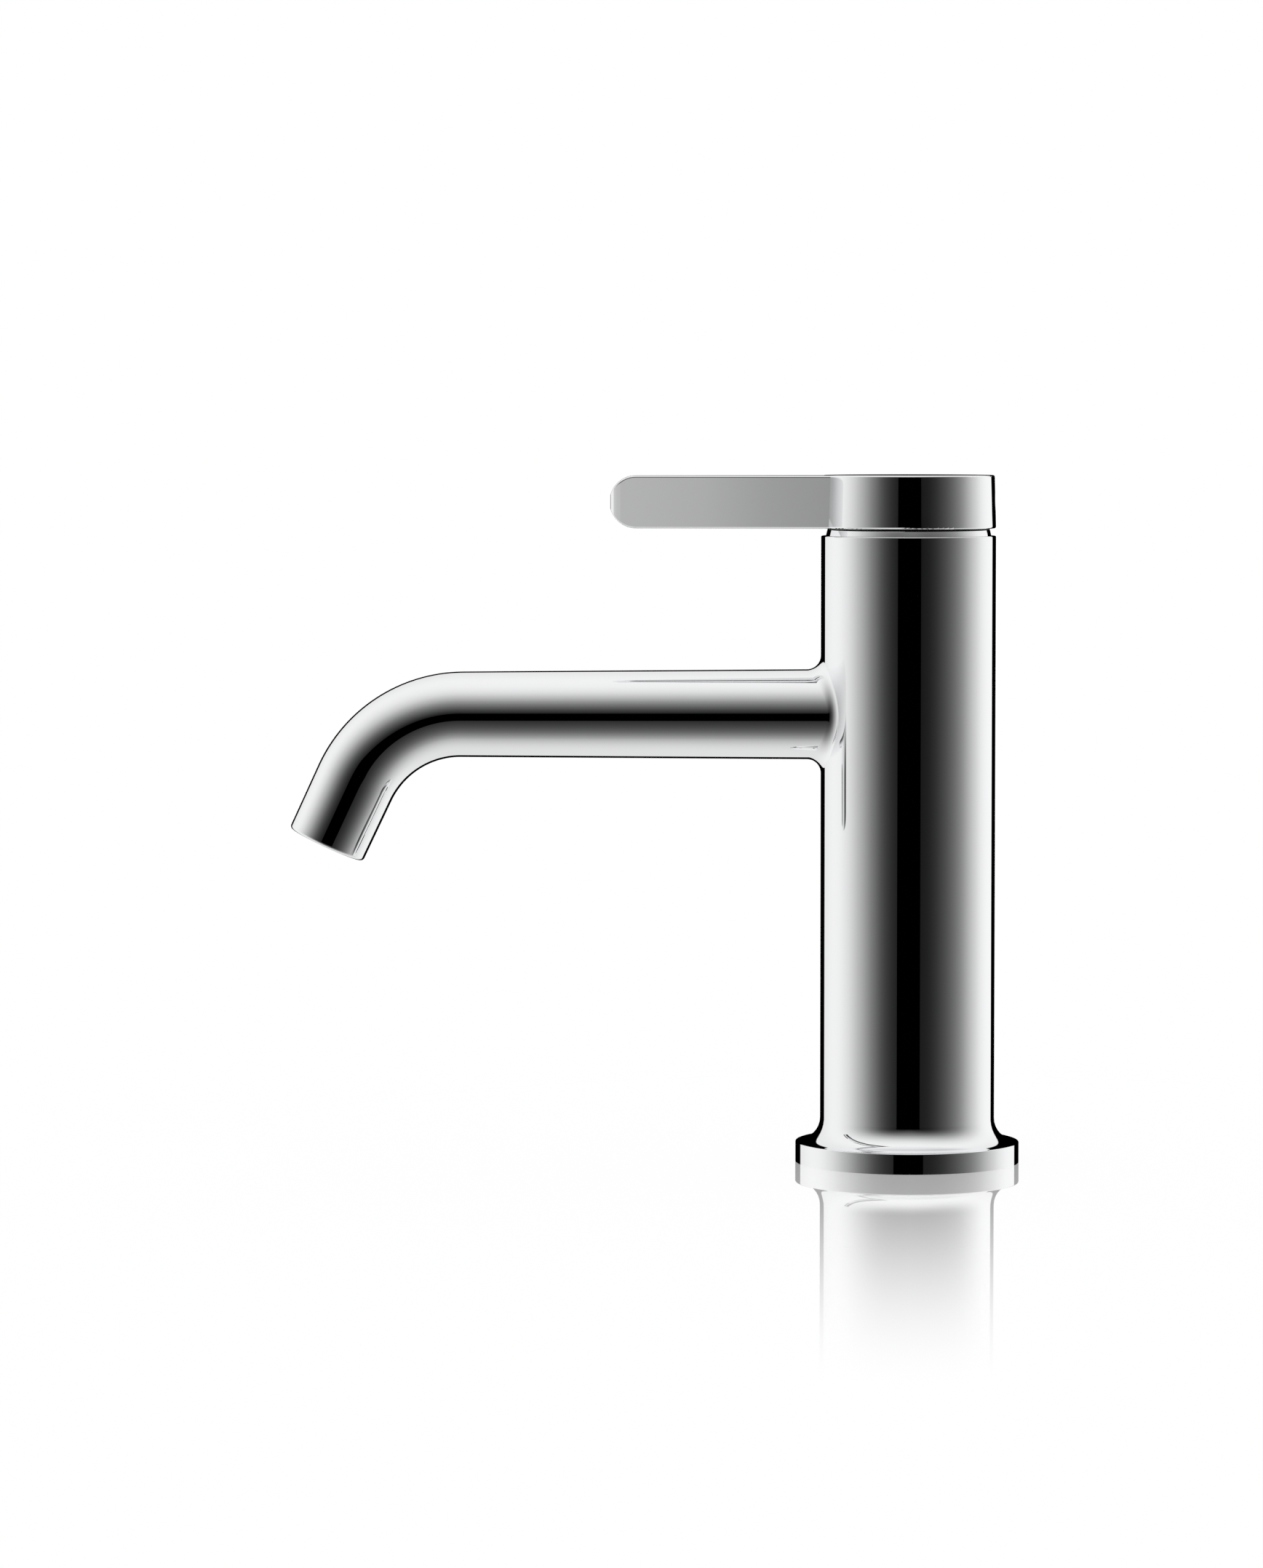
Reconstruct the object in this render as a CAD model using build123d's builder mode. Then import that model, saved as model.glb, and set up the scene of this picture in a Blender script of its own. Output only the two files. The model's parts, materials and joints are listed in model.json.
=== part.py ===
from build123d import *
import os
from math import cos, radians, sin, sqrt, tan

# Single-lever bathroom mixer faucet, in millimetres.
# Origin: centre of the foot's underside, on the deck. +Z is up, the spout and the lever point to -X.

# --- foot and column -------------------------------------------------------------------------
FOOT_R = 26.0
FOOT_HEIGHT = 4.75
FOOT_EDGE = 0.2
FOOT_FILLET = 5.5
COLUMN_R = 20.25
COLUMN_TOP = 145.75
COLUMN_EDGE = 0.3
HOSE_BORE_R = 16.25
CORE_BORE_R = 17.25
CORE_BOTTOM = 86.0
GASKET_INNER_R = 21.0
GASKET_OUTER_R = 24.5
GASKET_HEIGHT = 2.5

# --- holder for the fixing stud: M8, tapping drill 6.8 ------------------------------------------
STUD_X = 10.5
STUD_HOLE_R = 3.4
STUD_HOLDER_R = 5.75
STUD_HOLDER_BOTTOM = 8.0
STUD_THREAD_LENGTH = 20.0

# --- spout ---------------------------------------------------------------------------------------
SPOUT_Z = 104.3
SPOUT_ROOT_R = 10.6
SPOUT_BEND_START_R = 9.93
SPOUT_BEND_END_R = 9.47
SPOUT_OUTLET_R = 9.35
SPOUT_ROOT_FILLET = 3.25
CORNER_X = -121.0
BEND_R = 27.5
DROP_ANGLE = 65.0
CORNER_TO_OUTLET = 33.4
OUTLET_EDGE = 0.8
WATERWAY_R = 7.0

# --- aerator, measured inwards from the outlet's mouth: M16.5 hidden type ----------------------------
AERATOR_SEAT_R = 8.25
AERATOR_R = 8.2
AERATOR_BORE_R = 6.9
AERATOR_LIP_R = 6.2
AERATOR_START = 1.2
AERATOR_LIP = 1.0
AERATOR_LENGTH = 7.5
INSERT_THICKNESS = 3.0
SCREEN_THICKNESS = 0.6
AERATOR_SEAL_THICKNESS = 1.5
CELL_PITCH = 2.2
CELL_WALL = 0.3
SCREEN_PITCH = 1.5
SCREEN_HOLE = 1.1
KEY_SLOT_WIDTH = 2.2
KEY_SLOT_DEPTH = 0.8

# --- valve core ----------------------------------------------------------------------------------
CORE_R = 17.15
SEAT_Z = 115.5
CUP_R = 14.15
CUP_TOP = 131.0
RING_CHANNEL_FLOOR_R = 14.3
RING_CHANNEL_BOTTOM = 97.0
RING_CHANNEL_HEIGHT = 15.0
O_RING_GROOVE_R = 15.45
O_RING_HEIGHT = 2.4
LOWER_O_RING_Z = 91.0
UPPER_O_RING_Z = 113.1
INLET_X = -5.0
INLET_Y = 6.75
INLET_R = 3.0
HOSE_THREAD_R = 4.5
HOSE_THREAD_LENGTH = 10.0
MIXED_X = 6.5
MIXED_R = 3.2

# --- ceramic cartridge ---------------------------------------------------------------------------
CARTRIDGE_R = 14.0
BASE_THICKNESS = 4.0
SEAT_SEAL_HEIGHT = 1.5
SEAT_SEAL_WIDTH = 1.6
DISC_SEAL_R = 11.0
DISC_SEAL_THICKNESS = 1.0
DISC_INLET_X = -4.8
DISC_INLET_Y = 4.8
DISC_INLET_R = 2.0
DISC_OUTLET_X = 3.4
DISC_OUTLET_R = 2.6
FIXED_DISC_R = 12.2
MOVING_DISC_R = 9.2
DISC_THICKNESS = 3.0
DISC_GAP = 0.05
KEY_WIDTH = 2.8
KEY_DEPTH = 1.0
KEY_CLEARANCE = 0.1
MIXING_POCKET_X = 1.6
MIXING_POCKET_R = 5.7
MIXING_POCKET_DEPTH = 1.5
DRIVER_PLATE = 1.65
DRIVER_TOP = 129.8
DRIVER_HALF_X = 4.8
DRIVER_HALF_Y = 4.5
SOCKET_HALF = 2.2
DISC_TRAVEL = 2.5
HOUSING_BORE_R = 12.4
HOUSING_NECK_BORE_R = 10.05
HOUSING_NECK_R = 13.6
HOUSING_FLANGE_R = 16.9
HOUSING_FLANGE_TOP = 133.5
HOUSING_TOP = 143.5
CARRIER_SKIRT_R = 12.1
CARRIER_SKIRT_BOTTOM = 127.6
CARRIER_SKIRT_TOP = 130.7
CARRIER_NECK_R = 9.75
CARRIER_TOP = 143.0
CARRIER_GROOVE_Z = 136.6
CARRIER_GROOVE_R = 8.75
CARRIER_RING_HEIGHT = 1.8
CARRIER_RING_R = 9.98
NUT_R = 17.2
NUT_BORE_R = 13.9
NUT_TOP = 143.2
NUT_SLOT_WIDTH = 3.5
NUT_SLOT_DEPTH = 2.5

# --- temperature stop ------------------------------------------------------------------------------
TURN_HALF_RANGE = 50.0
LUG_HALF_ANGLE = 8.0
STOP_MARGIN = 0.5
STOP_FLOOR = 142.0
STOP_BORE_R = 11.0
STOP_POCKET_R = 12.4
LIMIT_RING_R = 10.8
LIMIT_LUG_R = 12.2
LIMIT_RING_BOTTOM = 142.2
LIMIT_RING_TOP = 143.4

# --- lever pivot and stem ----------------------------------------------------------------------------
PIVOT_Z = 134.5
LIFT_RANGE = 22.0
STEM_WIDTH = 8.0
STEM_TOP = 156.5
STEM_EDGE = 0.4
STEM_ARM = 6.3
STEM_ARM_R = 1.3
STEM_BALL_R = 1.8
PIN_R = 1.5
PIN_LENGTH = 18.0
PIN_CLEARANCE = 0.05
MOVING_CLEARANCE = 0.3

# --- dome ring between column and handle ---------------------------------------------------------------
DOME_BALL_R = 19.5
DOME_BALL_Z = 142.0
DOME_TOP = 148.8
DOME_MOUTH_R = 16.6
DOME_BORE_R = 15.8
DOME_SPIGOT_R = 17.2
DOME_SPIGOT_BOTTOM = 143.6
DOME_GROOVE_R = 16.4
DOME_GROOVE_Z = 144.3
DOME_GROOVE_HEIGHT = 1.2

# --- handle ---------------------------------------------------------------------------------------------
CAP_BOTTOM = 147.45
CAP_TOP = 159.8
CAP_BOTTOM_R = 20.25
CAP_TOP_R = 19.9
CAP_TOP_EDGE = 0.5
CAP_BOTTOM_EDGE = 0.45
CAP_LIP_R = 19.6
CAP_LIP_HEIGHT = 2.0
CAP_INNER_R = 18.6
CAP_CEILING = 157.1
BOSS_R = 8.0
BOSS_BOTTOM = 151.0
SOCKET_CLEARANCE = 0.05
BLADE_TIP_X = -69.1
BLADE_HEIGHT = 12.25
BLADE_EDGE = 0.5
BLADE_TIP_FLAT = 0.2
BLADE_TIP_R = 2.66
BLADE_ROOT_X = -12.0
BLADE_ROOT_R = 8.26
SCREW_Z = 153.6
SCREW_R = 2.5
SCREW_LENGTH = 5.0
SCREW_SOCKET = 1.25
SCREW_SOCKET_DEPTH = 2.5
PLUG_R = 2.7
PLUG_HOLE_R = 2.75
PLUG_INNER_X = 18.2
PLUG_OUTER_X = 19.85
PLUG_EDGE = 0.25

# --- worked-out places ---------------------------------------------------------------------------------
BEND_TANGENT = BEND_R * tan(radians(DROP_ANGLE / 2))
DROP = Vector(-cos(radians(DROP_ANGLE)), 0, -sin(radians(DROP_ANGLE)))
CORNER = Vector(CORNER_X, 0, SPOUT_Z)
BEND_START = CORNER + Vector(BEND_TANGENT, 0, 0)
BEND_END = CORNER + DROP * BEND_TANGENT
OUTLET = CORNER + DROP * CORNER_TO_OUTLET

spout_plane = Plane(origin=(0, 0, SPOUT_Z), z_dir=(-1, 0, 0))
bend_start_plane = Plane(origin=BEND_START, x_dir=(0, 1, 0), z_dir=(-1, 0, 0))
bend_end_plane = Plane(origin=BEND_END, x_dir=(0, 1, 0), z_dir=DROP)
outlet_plane = Plane(origin=OUTLET, x_dir=(0, 1, 0), z_dir=DROP * -1)

FIXED_DISC_Z = SEAT_Z + BASE_THICKNESS
MOVING_DISC_Z = FIXED_DISC_Z + DISC_THICKNESS + DISC_GAP
DRIVER_Z = MOVING_DISC_Z + DISC_THICKNESS
BALL_Z = PIVOT_Z - STEM_ARM
INLETS = ((INLET_X, INLET_Y), (INLET_X, -INLET_Y))
DISC_INLETS = ((DISC_INLET_X, DISC_INLET_Y), (DISC_INLET_X, -DISC_INLET_Y))
KEY_SIDES = (1, -1)
STANDING = (Align.CENTER, Align.CENTER, Align.MIN)

os.makedirs("parts", exist_ok=True)


def write(piece, name):
    """Label a finished piece and write it under its own name."""
    piece.part.label = name
    export_step(piece.part, f"parts/{name}.step")


def ring(inner_r, outer_r, height, plane):
    """A flat-sided ring, such as a seal squeezed into its groove."""
    with BuildPart() as made:
        with BuildSketch(plane):
            Circle(outer_r)
            Circle(inner_r, mode=Mode.SUBTRACT)
        extrude(amount=height)
    return made


def wedge(half_angle, reach):
    """Corners of a triangle that opens from the axis towards -X."""
    side = reach * tan(radians(half_angle))
    return (0, 0), (-reach, side), (-reach, -side)


# === mixer body: foot, column and spout in one casting ====================================================
with BuildPart() as mixer_body:
    with BuildSketch(Plane.XZ) as column_profile:
        with BuildLine():
            Polyline(
                (0, 0),
                (FOOT_R, 0),
                (FOOT_R, FOOT_HEIGHT),
                (COLUMN_R, FOOT_HEIGHT),
                (COLUMN_R, COLUMN_TOP),
                (0, COLUMN_TOP),
                close=True,
            )
        make_face()
        roundings = (
            (COLUMN_R, FOOT_HEIGHT, FOOT_FILLET),
            (FOOT_R, FOOT_HEIGHT, FOOT_EDGE),
            (COLUMN_R, COLUMN_TOP, COLUMN_EDGE),
        )
        for corner_r, corner_z, rounding in roundings:
            corners = column_profile.vertices()
            fillet(corners.sort_by_distance((corner_r, corner_z))[0], rounding)
    revolve(axis=Axis.Z)
    with Locations(spout_plane):
        Cone(SPOUT_ROOT_R, SPOUT_BEND_START_R, -BEND_START.X, align=STANDING)
    near_wall = mixer_body.edges().filter_by_position(Axis.X, -COLUMN_R - 1, -COLUMN_R / 2)
    spout_root = near_wall.filter_by_position(Axis.Z, SPOUT_Z - COLUMN_R, SPOUT_Z + COLUMN_R)
    fillet(spout_root, SPOUT_ROOT_FILLET)

    # bend, narrowing from one straight to the other
    with BuildLine() as bend_path:
        TangentArc(BEND_START, BEND_END, tangent=(-1, 0, 0))
    with BuildSketch(bend_start_plane):
        Circle(SPOUT_BEND_START_R)
    with BuildSketch(bend_end_plane):
        Circle(SPOUT_BEND_END_R)
    sweep(path=bend_path.line, multisection=True)
    with Locations(bend_end_plane):
        Cone(SPOUT_BEND_END_R, SPOUT_OUTLET_R, CORNER_TO_OUTLET - BEND_TANGENT, align=STANDING)

    outlet_rim = mixer_body.edges().filter_by(GeomType.CIRCLE).sort_by_distance(OUTLET)[0]
    fillet(outlet_rim, OUTLET_EDGE)

    # hose chamber and core bore
    with BuildSketch(Plane.XY):
        Circle(HOSE_BORE_R)
    extrude(amount=CORE_BOTTOM, mode=Mode.SUBTRACT)
    with BuildSketch(Plane.XY.offset(CORE_BOTTOM)):
        Circle(CORE_BORE_R)
    extrude(amount=COLUMN_TOP - CORE_BOTTOM, mode=Mode.SUBTRACT)

    # groove for the foot's gasket
    with BuildSketch(Plane.XY):
        Circle(GASKET_OUTER_R)
        Circle(GASKET_INNER_R, mode=Mode.SUBTRACT)
    extrude(amount=GASKET_HEIGHT, mode=Mode.SUBTRACT)

    # waterway through the spout
    with Locations(spout_plane):
        Cylinder(WATERWAY_R, -BEND_START.X, align=STANDING, mode=Mode.SUBTRACT)
    with BuildSketch(bend_start_plane):
        Circle(WATERWAY_R)
    sweep(path=bend_path.line, mode=Mode.SUBTRACT)
    with Locations(outlet_plane):
        Cylinder(
            WATERWAY_R,
            CORNER_TO_OUTLET - BEND_TANGENT,
            align=STANDING,
            mode=Mode.SUBTRACT,
        )
        Cylinder(
            AERATOR_SEAT_R,
            AERATOR_START + AERATOR_LENGTH + AERATOR_SEAL_THICKNESS,
            align=STANDING,
            mode=Mode.SUBTRACT,
        )
write(mixer_body, "mixer_body")

# === stud holder, soldered to the bore's wall opposite the spout ==============================================
with BuildPart() as stud_holder:
    with BuildSketch(Plane.XY.offset(STUD_HOLDER_BOTTOM)):
        with Locations((STUD_X, 0)):
            Circle(STUD_HOLDER_R)
            Rectangle(2 * STUD_HOLDER_R, 2 * STUD_HOLDER_R, align=(Align.MIN, Align.CENTER))
        Circle(HOSE_BORE_R, mode=Mode.INTERSECT)
        with Locations((STUD_X, 0)):
            Circle(STUD_HOLE_R, mode=Mode.SUBTRACT)
    extrude(amount=STUD_THREAD_LENGTH)
write(stud_holder, "stud_holder")

base_gasket = ring(GASKET_INNER_R, GASKET_OUTER_R, GASKET_HEIGHT, Plane.XY)
write(base_gasket, "base_gasket")

# === valve core: two hose threads up to the cartridge, one mixed channel out to the spout ====================
with BuildPart() as valve_core:
    with BuildSketch(Plane.XY.offset(CORE_BOTTOM)):
        Circle(CORE_R)
    extrude(amount=CUP_TOP - CORE_BOTTOM)
    with BuildSketch(Plane.XY.offset(SEAT_Z)):
        Circle(CUP_R)
    extrude(amount=CUP_TOP - SEAT_Z, mode=Mode.SUBTRACT)
    outer_grooves = (
        (LOWER_O_RING_Z, O_RING_HEIGHT, O_RING_GROOVE_R),
        (RING_CHANNEL_BOTTOM, RING_CHANNEL_HEIGHT, RING_CHANNEL_FLOOR_R),
        (UPPER_O_RING_Z, O_RING_HEIGHT, O_RING_GROOVE_R),
    )
    for bottom, height, floor_r in outer_grooves:
        with BuildSketch(Plane.XY.offset(bottom)):
            Circle(CORE_BORE_R)
            Circle(floor_r, mode=Mode.SUBTRACT)
        extrude(amount=height, mode=Mode.SUBTRACT)
    with BuildSketch(Plane.XY.offset(CORE_BOTTOM)):
        with Locations(*INLETS):
            Circle(INLET_R)
    extrude(amount=SEAT_Z - CORE_BOTTOM, mode=Mode.SUBTRACT)
    with BuildSketch(Plane.XY.offset(CORE_BOTTOM)):
        with Locations(*INLETS):
            Circle(HOSE_THREAD_R)
    extrude(amount=HOSE_THREAD_LENGTH, mode=Mode.SUBTRACT)
    with BuildSketch(Plane.XY.offset(SPOUT_Z)):
        with Locations((MIXED_X, 0)):
            Circle(MIXED_R)
    extrude(amount=SEAT_Z - SPOUT_Z, mode=Mode.SUBTRACT)
    with BuildSketch(Plane(origin=(MIXED_X, 0, SPOUT_Z), z_dir=(1, 0, 0))):
        Circle(MIXED_R)
    extrude(amount=CORE_R - MIXED_X, mode=Mode.SUBTRACT)
write(valve_core, "valve_core")

core_o_rings = (
    ("core_lower_o_ring", LOWER_O_RING_Z),
    ("core_upper_o_ring", UPPER_O_RING_Z),
)
for name, height in core_o_rings:
    write(ring(O_RING_GROOVE_R, CORE_BORE_R, O_RING_HEIGHT, Plane.XY.offset(height)), name)

# === cartridge: port plate and seals =========================================================================
with BuildPart() as cartridge_base:
    with BuildSketch(Plane.XY.offset(SEAT_Z)):
        Circle(CARTRIDGE_R)
    extrude(amount=BASE_THICKNESS)
    with BuildSketch(Plane.XY.offset(SEAT_Z)):
        with Locations(*INLETS):
            Circle(INLET_R + SEAT_SEAL_WIDTH)
        with Locations((MIXED_X, 0)):
            Circle(MIXED_R + SEAT_SEAL_WIDTH)
    extrude(amount=SEAT_SEAL_HEIGHT, mode=Mode.SUBTRACT)
    with BuildSketch(Plane.XY.offset(SEAT_Z)):
        with Locations(*DISC_INLETS):
            Circle(DISC_INLET_R)
        with Locations((DISC_OUTLET_X, 0)):
            Circle(DISC_OUTLET_R)
    extrude(amount=BASE_THICKNESS, mode=Mode.SUBTRACT)
    with BuildSketch(Plane.XY.offset(FIXED_DISC_Z - DISC_SEAL_THICKNESS)):
        Circle(DISC_SEAL_R)
    extrude(amount=DISC_SEAL_THICKNESS, mode=Mode.SUBTRACT)
    # two lugs that key the fixed disc
    with BuildSketch(Plane.XY.offset(FIXED_DISC_Z)):
        for side in KEY_SIDES:
            with Locations((0, side * (FIXED_DISC_R - KEY_DEPTH / 2))):
                Rectangle(KEY_WIDTH, KEY_DEPTH)
        Circle(FIXED_DISC_R, mode=Mode.INTERSECT)
    extrude(amount=DISC_THICKNESS - 1)
write(cartridge_base, "cartridge_base")

seat_seals = (
    ("hot_seat_seal", INLET_X, INLET_Y, INLET_R),
    ("cold_seat_seal", INLET_X, -INLET_Y, INLET_R),
    ("mixed_seat_seal", MIXED_X, 0, MIXED_R),
)
for name, port_x, port_y, port_r in seat_seals:
    seat = Plane(origin=(port_x, port_y, SEAT_Z))
    write(ring(port_r, port_r + SEAT_SEAL_WIDTH, SEAT_SEAL_HEIGHT, seat), name)

with BuildPart() as disc_seal:
    with BuildSketch(Plane.XY.offset(FIXED_DISC_Z - DISC_SEAL_THICKNESS)):
        Circle(DISC_SEAL_R)
        with Locations(*DISC_INLETS):
            Circle(DISC_INLET_R, mode=Mode.SUBTRACT)
        with Locations((DISC_OUTLET_X, 0)):
            Circle(DISC_OUTLET_R, mode=Mode.SUBTRACT)
    extrude(amount=DISC_SEAL_THICKNESS)
write(disc_seal, "disc_seal")

# === ceramic discs =============================================================================================
with BuildPart() as fixed_ceramic_disc:
    with BuildSketch(Plane.XY.offset(FIXED_DISC_Z)):
        Circle(FIXED_DISC_R)
        with Locations(*DISC_INLETS):
            Circle(DISC_INLET_R, mode=Mode.SUBTRACT)
        with Locations((DISC_OUTLET_X, 0)):
            Circle(DISC_OUTLET_R, mode=Mode.SUBTRACT)
        for side in KEY_SIDES:
            with Locations((0, side * FIXED_DISC_R)):
                Rectangle(
                    KEY_WIDTH + 2 * KEY_CLEARANCE,
                    2 * (KEY_DEPTH + KEY_CLEARANCE),
                    mode=Mode.SUBTRACT,
                )
    extrude(amount=DISC_THICKNESS)
write(fixed_ceramic_disc, "fixed_ceramic_disc")

with BuildPart() as moving_ceramic_disc:
    with BuildSketch(Plane.XY.offset(MOVING_DISC_Z)):
        Circle(MOVING_DISC_R)
        for side in KEY_SIDES:
            with Locations((0, side * MOVING_DISC_R)):
                Rectangle(
                    KEY_WIDTH + 2 * KEY_CLEARANCE,
                    2 * (KEY_DEPTH + KEY_CLEARANCE),
                    mode=Mode.SUBTRACT,
                )
    extrude(amount=DISC_THICKNESS)
    # pocket that joins the inlets to the outlet when the lever is lifted
    with BuildSketch(Plane.XY.offset(MOVING_DISC_Z)):
        with Locations((MIXING_POCKET_X, 0)):
            Circle(MIXING_POCKET_R)
    extrude(amount=MIXING_POCKET_DEPTH, mode=Mode.SUBTRACT)
write(moving_ceramic_disc, "moving_ceramic_disc")

with BuildPart() as disc_driver:
    with BuildSketch(Plane.XY.offset(DRIVER_Z)):
        Circle(MOVING_DISC_R)
    extrude(amount=DRIVER_PLATE)
    with BuildSketch(Plane.XY.offset(DRIVER_Z)):
        Rectangle(2 * DRIVER_HALF_X, 2 * DRIVER_HALF_Y)
    extrude(amount=DRIVER_TOP - DRIVER_Z)
    # two legs that reach down into the moving disc's notches
    with BuildSketch(Plane.XY.offset(DRIVER_Z)):
        for side in KEY_SIDES:
            with Locations((0, side * (MOVING_DISC_R - KEY_DEPTH / 2))):
                Rectangle(KEY_WIDTH, KEY_DEPTH)
        Circle(MOVING_DISC_R, mode=Mode.INTERSECT)
    extrude(amount=-DISC_THICKNESS / 2)
    # socket for the stem's ball
    with BuildSketch(Plane.XY.offset(DRIVER_Z)):
        Rectangle(2 * SOCKET_HALF, 2 * SOCKET_HALF)
    extrude(amount=DRIVER_TOP - DRIVER_Z, mode=Mode.SUBTRACT)
write(disc_driver, "disc_driver")

# === turning carrier, its seal, pin and stop ring ==================================================================
with BuildPart() as stem_carrier:
    with BuildSketch(Plane.XY.offset(CARRIER_SKIRT_BOTTOM)):
        Circle(CARRIER_SKIRT_R)
    extrude(amount=CARRIER_SKIRT_TOP - CARRIER_SKIRT_BOTTOM)
    with BuildSketch(Plane.XY.offset(CARRIER_SKIRT_TOP)):
        Circle(CARRIER_NECK_R)
    extrude(amount=CARRIER_TOP - CARRIER_SKIRT_TOP)
    with BuildSketch(Plane.XY.offset(CARRIER_GROOVE_Z)):
        Circle(CARRIER_NECK_R)
        Circle(CARRIER_GROOVE_R, mode=Mode.SUBTRACT)
    extrude(amount=CARRIER_RING_HEIGHT, mode=Mode.SUBTRACT)
    # guide for the driver's block, long enough for the disc's travel towards -X
    guide_length = 2 * DRIVER_HALF_X + DISC_TRAVEL + 2 * MOVING_CLEARANCE
    with BuildSketch(Plane.XY.offset(CARRIER_SKIRT_BOTTOM)):
        with Locations((-DISC_TRAVEL / 2, 0)):
            Rectangle(guide_length, 2 * (DRIVER_HALF_Y + MOVING_CLEARANCE))
    guide_top = DRIVER_TOP + MOVING_CLEARANCE
    extrude(amount=guide_top - CARRIER_SKIRT_BOTTOM, mode=Mode.SUBTRACT)
    # slot for the stem: straight at the closed side, slanted where the stem leans when lifted
    half_stem = STEM_WIDTH / 2
    slot_half = half_stem + MOVING_CLEARANCE
    lean = tan(radians(LIFT_RANGE))
    lean_x = half_stem / cos(radians(LIFT_RANGE)) + MOVING_CLEARANCE
    with BuildSketch(Plane.XZ):
        with BuildLine():
            Polyline(
                (-slot_half, guide_top),
                (-slot_half, CARRIER_TOP),
                (lean_x + (CARRIER_TOP - PIVOT_Z) * lean, CARRIER_TOP),
                (lean_x, PIVOT_Z),
                (lean_x, guide_top),
                close=True,
            )
        make_face()
    extrude(amount=slot_half, both=True, mode=Mode.SUBTRACT)
    with BuildSketch(Plane.XZ):
        with Locations((0, PIVOT_Z)):
            Circle(PIN_R)
    extrude(amount=CARRIER_NECK_R, both=True, mode=Mode.SUBTRACT)
write(stem_carrier, "stem_carrier")

carrier_seat = Plane.XY.offset(CARRIER_GROOVE_Z)
write(ring(CARRIER_GROOVE_R, CARRIER_RING_R, CARRIER_RING_HEIGHT, carrier_seat), "carrier_o_ring")

with BuildPart() as pivot_pin:
    with BuildSketch(Plane.XZ):
        with Locations((0, PIVOT_Z)):
            Circle(PIN_R)
    extrude(amount=PIN_LENGTH / 2, both=True)
write(pivot_pin, "pivot_pin")

with BuildPart() as temperature_limit_ring:
    with BuildSketch(Plane.XY.offset(LIMIT_RING_BOTTOM)):
        Circle(LIMIT_LUG_R)
        Polygon(*wedge(LUG_HALF_ANGLE, LIMIT_LUG_R + 1), align=None, mode=Mode.INTERSECT)
        Circle(LIMIT_RING_R)
        Circle(CARRIER_NECK_R, mode=Mode.SUBTRACT)
    extrude(amount=LIMIT_RING_TOP - LIMIT_RING_BOTTOM)
write(temperature_limit_ring, "temperature_limit_ring")

# === cartridge housing and its nut ====================================================================================
with BuildPart() as cartridge_housing:
    with BuildSketch(Plane.XZ):
        with BuildLine():
            Polyline(
                (HOUSING_BORE_R, FIXED_DISC_Z),
                (CARTRIDGE_R, FIXED_DISC_Z),
                (CARTRIDGE_R, CUP_TOP),
                (HOUSING_FLANGE_R, CUP_TOP),
                (HOUSING_FLANGE_R, HOUSING_FLANGE_TOP),
                (HOUSING_NECK_R, HOUSING_FLANGE_TOP),
                (HOUSING_NECK_R, HOUSING_TOP),
                (STOP_BORE_R, HOUSING_TOP),
                (STOP_BORE_R, STOP_FLOOR),
                (HOUSING_NECK_BORE_R, STOP_FLOOR),
                (HOUSING_NECK_BORE_R, CUP_TOP),
                (HOUSING_BORE_R, CUP_TOP),
                close=True,
            )
        make_face()
    revolve(axis=Axis.Z)
    # pocket that the stop lug swings in
    pocket_half_angle = TURN_HALF_RANGE + LUG_HALF_ANGLE + STOP_MARGIN
    with BuildSketch(Plane.XY.offset(STOP_FLOOR)):
        Circle(STOP_POCKET_R)
        Polygon(*wedge(pocket_half_angle, STOP_POCKET_R + 1), align=None, mode=Mode.INTERSECT)
    extrude(amount=HOUSING_TOP - STOP_FLOOR, mode=Mode.SUBTRACT)
write(cartridge_housing, "cartridge_housing")

with BuildPart() as cartridge_nut:
    with BuildSketch(Plane.XY.offset(HOUSING_FLANGE_TOP)):
        Circle(NUT_R)
        Circle(NUT_BORE_R, mode=Mode.SUBTRACT)
    extrude(amount=NUT_TOP - HOUSING_FLANGE_TOP)
    with BuildSketch(Plane.XY.offset(NUT_TOP - NUT_SLOT_DEPTH)):
        Rectangle(2 * NUT_R + 1, NUT_SLOT_WIDTH)
        Rectangle(NUT_SLOT_WIDTH, 2 * NUT_R + 1)
    extrude(amount=NUT_SLOT_DEPTH, mode=Mode.SUBTRACT)
write(cartridge_nut, "cartridge_nut")

# === dome ring ============================================================================================================
def dome_radius(height):
    """Radius of the dome's ball-shaped outside at a height."""
    return sqrt(DOME_BALL_R**2 - (height - DOME_BALL_Z) ** 2)


with BuildPart() as dome_ring:
    mouth_bevel = DOME_MOUTH_R - DOME_BORE_R
    dome_middle = (COLUMN_TOP + DOME_TOP) / 2
    with BuildSketch(Plane.XZ):
        with BuildLine():
            ThreePointArc(
                (dome_radius(COLUMN_TOP), COLUMN_TOP),
                (dome_radius(dome_middle), dome_middle),
                (dome_radius(DOME_TOP), DOME_TOP),
            )
            Polyline(
                (dome_radius(DOME_TOP), DOME_TOP),
                (DOME_MOUTH_R, DOME_TOP),
                (DOME_MOUTH_R, COLUMN_TOP + mouth_bevel),
                (DOME_BORE_R, COLUMN_TOP),
                (DOME_BORE_R, DOME_SPIGOT_BOTTOM),
                (DOME_SPIGOT_R, DOME_SPIGOT_BOTTOM),
                (DOME_SPIGOT_R, DOME_GROOVE_Z),
                (DOME_GROOVE_R, DOME_GROOVE_Z),
                (DOME_GROOVE_R, DOME_GROOVE_Z + DOME_GROOVE_HEIGHT),
                (DOME_SPIGOT_R, DOME_GROOVE_Z + DOME_GROOVE_HEIGHT),
                (DOME_SPIGOT_R, COLUMN_TOP),
                (dome_radius(COLUMN_TOP), COLUMN_TOP),
            )
        make_face()
    revolve(axis=Axis.Z)
write(dome_ring, "dome_ring")

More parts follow.
